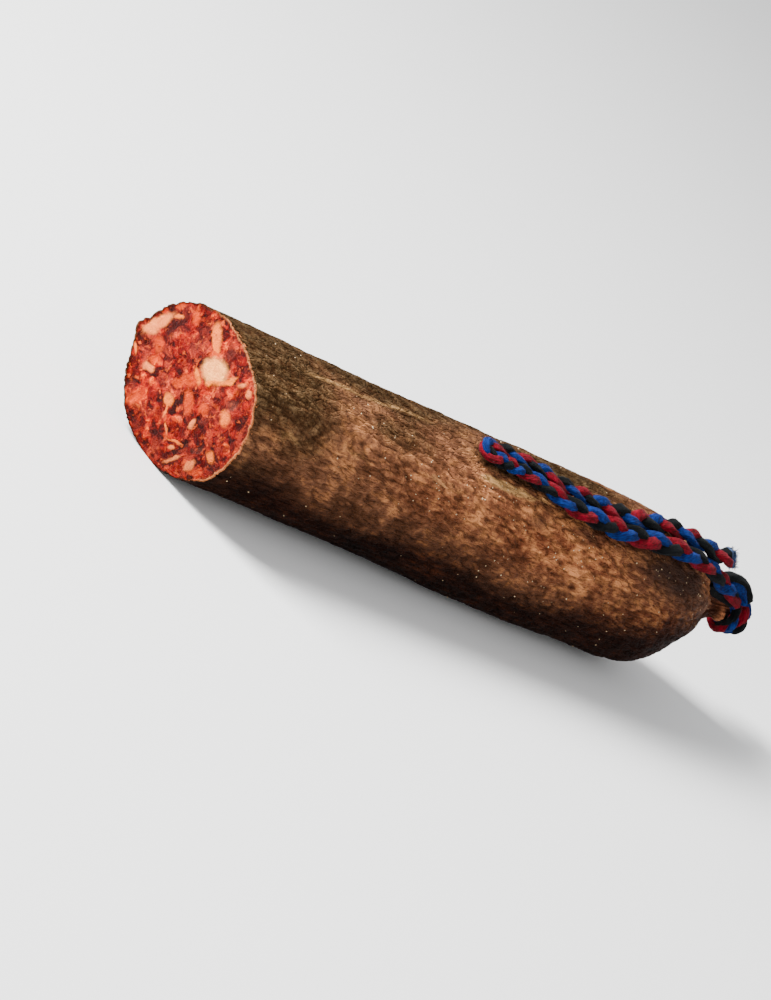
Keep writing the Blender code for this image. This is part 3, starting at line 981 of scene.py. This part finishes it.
# each kind of piece: colour, how far it stands out, how strongly it covers the minced meat
meatKinds = {
    "whiteFat": (tint(250, 164, 88), 0.22, 0.97),
    "pinkFat": (tint(227, 122, 62), 0.16, 0.86),
    "peachFat": (tint(234, 110, 30), 0.16, 0.84),
    "yellowFat": (tint(228, 112, 18), 0.13, 0.84),
    "orange": (tint(192, 58, 3), 0.08, 0.80),
    "red": (tint(126, 5, 4), 0.03, 0.50),
    "pink": (tint(161, 49, 28), 0.07, 0.55),
    "mauve": (tint(94, 33, 26), 0.00, 0.55),
    "mauveDark": (tint(55, 15, 14), -0.12, 0.74),
    "dark": (tint(29, 4, 4), -0.26, 0.84),
    "maroon": (tint(60, 4, 3), -0.20, 0.66),
    "greyMeat": (tint(75, 43, 35), -0.05, 0.68),
}


def makeCutFace():
    count, rings = cutFace["columns"], cutFace["rings"]
    angle = np.linspace(0.0, fullTurn, count, endpoint=False)
    slant = cutDistance(angle)
    rim, _, _ = skin(slant, angle, casing["thickness"] * 0.92)
    middle = np.array([0.0, 0.0, stationTable[1][2]])
    rim[:, 0] = 0.0
    outFrom = rim - middle
    share = (np.arange(rings) + 1) / rings
    points = (middle + share[:, None, None] * outFrom[None, :, :]).reshape(-1, 3)
    points = np.concatenate([points, middle[None, :]])
    edge = np.append(np.repeat(share, count), 0.0)
    flat = points - middle
    across = flat[:, 1] * cutFace["across"][0] + flat[:, 2] * cutFace["across"][1]
    up = flat[:, 1] * cutFace["up"][0] + flat[:, 2] * cutFace["up"][1]
    (wave, amount), (fineWave, fineAmount) = cutFace["wobble"]
    wobbleA = bumps(flat, wave, 1.0) * amount + bumps(flat, fineWave, 2.0) * fineAmount
    wobbleB = bumps(flat, wave, 31.0) * amount + bumps(flat, fineWave, 12.0) * fineAmount
    colour = np.zeros((len(points), 4))
    colour[:, 3] = 1.0
    covered = np.zeros(len(points))
    relief = np.zeros(len(points))
    fatness = np.zeros(len(points))
    for kind, atAcross, atUp, halfLength, halfWidth, turn in meatPieces:
        hue, lift, cover = meatKinds[kind]
        t = math.radians(turn)
        dx, dy = across + wobbleA - atAcross, up + wobbleB - atUp
        along = (dx * math.cos(t) + dy * math.sin(t)) / halfLength
        beside = (-dx * math.sin(t) + dy * math.cos(t)) / halfWidth
        inside = 1 - softStep(*cutFace["softEdge"], np.hypot(along, beside))
        here = inside * cover
        kept = covered * (1 - here)
        for k in range(3):
            mixed = (colour[:, k] * kept + hue[k] * here) / np.maximum(kept + here, 1e-6)
            colour[:, k] = np.where(covered + here > 0, mixed, 0.0)
        covered = kept + here
        relief += lift * inside
        isFat = 1.0 if kind.endswith("Fat") else 0.0
        fatness = fatness * (1 - inside) + isFat * inside
    grain = bumps(flat, 1.5, 4.0) * 0.5 + bumps(flat, 0.7, 8.0) * 0.3 + bumps(flat, 4.0, 6.0) * 0.4
    height = relief + grain * cutFace["grainHeight"] * (1 - 0.6 * fatness) - cutFace["recess"]
    height = height * (1 - softStep(0.975, 1.0, edge)) - 0.05
    points[:, 0] = planeX(points, height)
    last = len(points) - 1
    faces = [(a, d, c, b) for a, b, c, d in gridFaces(rings, count)]
    faces += [(last, j, (j + 1) % count) for j in range(count)]
    attributes = {
        "pieceTint": colour,
        "pieceAmount": covered,
        "fatness": fatness,
        "edge": softStep(*cutFace["rimFade"], edge),
        "lower": softStep(*cutFace["lowerFade"], up),
        "edgePale": np.append(np.tile(paleShare(angle), rings), 0.0),
    }
    return addPiece("cutFace", points, faces, [makeMeatPaint()], None, attributes)


redRamp = [
    (0.00, tint(38, 4, 3)),
    (0.22, tint(70, 5, 3)),
    (0.42, tint(103, 11, 6)),
    (0.60, tint(135, 16, 4)),
    (0.76, tint(161, 32, 3)),
    (0.90, tint(191, 53, 5)),
    (1.00, tint(235, 95, 26)),
]
roseRamp = [
    (0.00, tint(38, 4, 3)),
    (0.25, tint(71, 14, 9)),
    (0.50, tint(104, 25, 17)),
    (0.75, tint(144, 40, 25)),
    (1.00, tint(212, 79, 39)),
]
meatTints = {
    "gap": tint(30, 4, 3),
    "membrane": tint(185, 68, 29),
    "spot": tint(227, 85, 21),
    "edgeDark": tint(68, 6, 3),
    "edgePale": tint(206, 116, 66),
    "fatShade": tint(206, 96, 46),
}


# waves per millimetre, detail and roughness of each noise in the meat
meatNoise = {
    "soft": (0.36, 3.0, 0.6),
    "fine": (1.3, 3.0, 0.6),
    "family": (0.16, 2.0),
    "spots": (0.58, 2.0, 0.5),
    "gaps": (0.47, 2.0, 0.5),
}
# painted shade that darkens the lower part of the face
lowerShade = (0.50, 0.46, 0.46, 1.0)


def makeMeatPaint():
    paint = Paint("curedMeat")
    hue = meatTints
    place = paint.shifted(paint.shifted(paint.places(), 2.4, 0.30), 0.8, 1.1)
    lump = paint.softCells(place, 0.30, 0)
    crumb = paint.softCells(place, 0.62, 1)
    soft = paint.noise(place, *meatNoise["soft"])
    fine = paint.noise(place, *meatNoise["fine"])
    fat = paint.stored("fatness")
    lean = 1 - fat
    value = ((lump * 0.42 + crumb * 0.26 + soft * 0.9 + fine * 0.5 - 1.04) * 1.55 + 0.44).held()
    family = paint.noise(place, *meatNoise["family"]).between(0.44, 0.58)
    meat = paint.blend(family, paint.ramp(value, redRamp), paint.ramp(value, roseRamp))
    spots = paint.noise(place, *meatNoise["spots"]).between(0.585, 0.70)
    meat = paint.blend(spots * 0.5, meat, hue["spot"])
    gaps = (1 - paint.noise(place, *meatNoise["gaps"])).between(0.56, 0.68)
    meat = paint.blend(gaps * 0.56, meat, hue["gap"])
    seams = (1 - paint.cells(place, 0.30, "DISTANCE_TO_EDGE").between(0.0, 0.09)) * soft.between(0.48, 0.62)
    meat = paint.blend(seams * 0.45, meat, hue["membrane"])
    own = paint.blend((fine - 0.34) * 1.8 * lean, paint.stored("pieceTint", "Color"), meat)
    covered = paint.stored("pieceAmount")
    shaded = ((soft - 0.40) * 1.6 + (fine - 0.5) * 1.6) * fat + (1 - covered) * fat * 0.6
    own = paint.blend(shaded.held(), own, hue["fatShade"])
    ragged = ((fine - 0.5) * 1.1 + (soft - 0.5) * 0.8) * lean
    meat = paint.blend((covered * 1.15 + ragged * covered).held(), meat, own)
    # painted shade towards the bottom of the face
    meat = paint.blend(paint.stored("lower") * 0.8, meat, lowerShade, "MULTIPLY")
    rim = paint.blend(paint.stored("edgePale"), hue["edgeDark"], hue["edgePale"])
    meat = paint.blend(paint.stored("edge") * 0.45, meat, rim)
    height = soft * 0.9 + fine * 0.7 + crumb * 0.35 + covered * 0.2
    rough = (0.40 + fine * 0.2 + fat * 0.1).held()
    return paint.finish({
        "Base Color": meat,
        "Roughness": rough,
        "Specular IOR Level": 0.05,
        "Normal": paint.bump(height, 0.9, 1.1),
    })


cutPiece = makeCutFace()
print("cut face made")


# the turns of the plait round the neck
def makeTie():
    rng = random.Random(tie["seed"])
    halfWide = tie["halfWide"]
    low, high = alongStations(np.array([tie["distance"] - halfWide, tie["distance"] + halfWide]), 2)
    ahead = Vector((2 * halfWide, 0.0, high - low)).normalized()
    front = Vector((0.0, -1.0, 0.0))
    top = Vector((-ahead.z, 0.0, ahead.x))
    middle = Vector((tie["distance"] - sausage["middleX"], 0.0, (low + high) / 2))

    def spot(degrees, along, radius):
        turn = math.radians(degrees)
        return middle + ahead * along + (top * math.cos(turn) + front * math.sin(turn)) * radius

    route = [Vector(inRow([cord["route"][0]])[0]) + Vector(tie["leadIn"])]
    end = tie["start"] + tie["turns"] * 360
    for degrees in np.arange(tie["start"], end, tie["every"]):
        passed = (degrees - tie["start"]) / 360
        shift = softStep(*tie["shiftOver"], passed) * 2 * tie["gap"]
        route.append(spot(degrees, shift - tie["gap"], tie["radius"]))
    route.append(spot(end, tie["gap"] + 0.3, tie["radius"] - tie["tuckIn"]))
    axis = np.array(ahead)

    def outward(points):
        off = points - np.array(middle)
        return unit(off - rows(off @ axis) * axis)

    smooth = smoothRoute([tuple(p) for p in route], tie["smooth"])
    points, faces, slots, fibres = plait(tie, smooth, outward, rng)
    for path, strand in zip(bridges["routes"], bridges["colours"]):
        over = smoothRoute(inRow(path), tie["smooth"])
        single = dict(bridges, strands=[strand])
        morePoints, moreFaces, moreSlots, moreFibres = plait(single, over, awayFromBody, rng)
        faces += [tuple(i + len(points) for i in face) for face in moreFaces]
        points, fibres = np.concatenate([points, morePoints]), np.concatenate([fibres, moreFibres])
        slots += moreSlots
    return addPiece("neckTie", points, faces, yarnPaints, slots, {"fibre": fibres})


tiePiece = makeTie()
print("tie wound")


# white specks of salt and mould on the skin
specks = {
    "seed": 21,
    "count": 270,
    "size": (0.12, 0.29),
    "big": (0.08, 1.5),  # how many are bigger, and by how much
    "sides": 7,
    "levels": ((-0.5, 0.8), (0.1, 1.0), (0.5, 0.62)),  # height and width of each ring, of the size
    # distance, angle, spread along, spread round in degrees, how many
    "clusters": [
        (112, 42, 9, 9, 20), (84, 62, 8, 8, 22), (150, 62, 10, 12, 20), (205, 50, 14, 12, 22),
        (232, 52, 8, 20, 10), (60, 30, 12, 14, 14), (175, 90, 20, 14, 12), (128, 96, 16, 12, 12),
    ],
}


def makeSpecks():
    rng = random.Random(specks["seed"])
    sides, levels = specks["sides"], specks["levels"]
    bigShare, bigger = specks["big"]
    spots = []
    for at, facing, spreadAlong, spreadRound, count in specks["clusters"]:
        for _ in range(count):
            spots.append((rng.gauss(at, spreadAlong), math.radians(rng.gauss(facing, spreadRound))))
    while len(spots) < specks["count"]:
        spots.append((rng.uniform(6, 240), rng.uniform(-math.pi, math.pi)))
    spots = np.array(spots)
    centres, _, _ = skin(spots[:, 0], spots[:, 1])
    outwards = np.stack([np.zeros(len(spots)), -np.sin(spots[:, 1]), np.cos(spots[:, 1])], axis=-1)
    points, faces = [], []
    count = 0
    for centre, outward in zip(centres, outwards):
        if centre[2] < 1.5:
            continue
        size = rng.uniform(*specks["size"]) * (bigger if rng.random() < bigShare else 1.0)
        side = np.array([1.0, 0.0, 0.0])
        other = np.cross(outward, side)
        ring = []
        for level, (lift, wide) in enumerate(levels):
            for m in range(sides):
                spin = fullTurn * (m + 0.4 * level) / sides
                reach = size * wide * rng.uniform(0.7, 1.2)
                spot = centre + side * math.cos(spin) * reach + other * math.sin(spin) * reach
                ring.append(spot + outward * size * lift * rng.uniform(0.7, 1.2))
        ring.append(centre + outward * size * 0.72)
        points.append(np.array(ring))
        faces += gridFaces(len(levels), sides, count)
        top = count + sides * (len(levels) - 1)
        faces += [(top + m, top + (m + 1) % sides, top + sides) for m in range(sides)]
        count += len(ring)
    paint = Paint("saltSpeck")
    grainy = paint.noise(paint.places(), 2.5, 2.0)
    white = paint.finish({
        "Base Color": paint.blend(grainy, tint(176, 146, 108), tint(220, 196, 158)),
        "Roughness": 0.6,
    })
    return addPiece("saltSpecks", np.concatenate(points), faces, [white])


speckPiece = makeSpecks()
print("specks scattered")


# which body each piece rides on, and what it stands for
for piece in (cordPiece, tiePiece, casingPiece, cutPiece, speckPiece):
    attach(piece, "root")
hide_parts("sausage")
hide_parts("cord_loop")
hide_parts("neck_tie")


# floor and light
studio = {
    "floorSize": 6.0,  # metres
    "floor": tint(240, 240, 239),
    # name, direction towards the light: right, up and back towards the camera; power, size in metres
    "lights": [
        ("keyLight", (-0.25, 0.88, 0.40), 104.0, 0.6),
        ("frontLight", (-0.85, 0.25, 0.60), 38.0, 0.6),
        ("lowLight", (0.55, -0.1, 0.80), 4.0, 1.2),
    ],
    "lightAway": 1.5,  # metres from the sausage
    "sky": tint(232, 233, 235),
    "skyStrength": 0.95,
}


def makeStudio():
    half = studio["floorSize"] / 2
    corners = [(-half, -half, 0), (half, -half, 0), (half, half, 0), (-half, half, 0)]
    mesh = bpy.data.meshes.new("floor")
    mesh.from_pydata(corners, [], [(0, 1, 2, 3)])
    floor = bpy.data.objects.new("floor", mesh)
    bpy.context.scene.collection.objects.link(floor)
    paint = Paint("paleFloor")
    mesh.materials.append(paint.finish({"Base Color": studio["floor"], "Roughness": 0.9}))
    right, up, ahead = cameraAxes()
    for name, (toRight, upwards, back), power, size in studio["lights"]:
        lamp = bpy.data.lights.new(name, "AREA")
        lamp.energy = power
        lamp.size = size
        light = bpy.data.objects.new(name, lamp)
        towards = (right * toRight + up * upwards - ahead * back).normalized()
        light.location = Vector((0.0, 0.0, 0.02)) + towards * studio["lightAway"]
        light.rotation_euler = towards.to_track_quat("Z", "Y").to_euler()
        bpy.context.scene.collection.objects.link(light)
    world = bpy.data.worlds.new("studioSky")
    world.use_nodes = True
    sky = world.node_tree.nodes["Background"]
    sky.inputs["Color"].default_value = studio["sky"]
    sky.inputs["Strength"].default_value = studio["skyStrength"]
    bpy.context.scene.world = world


makeStudio()
print("studio lit")
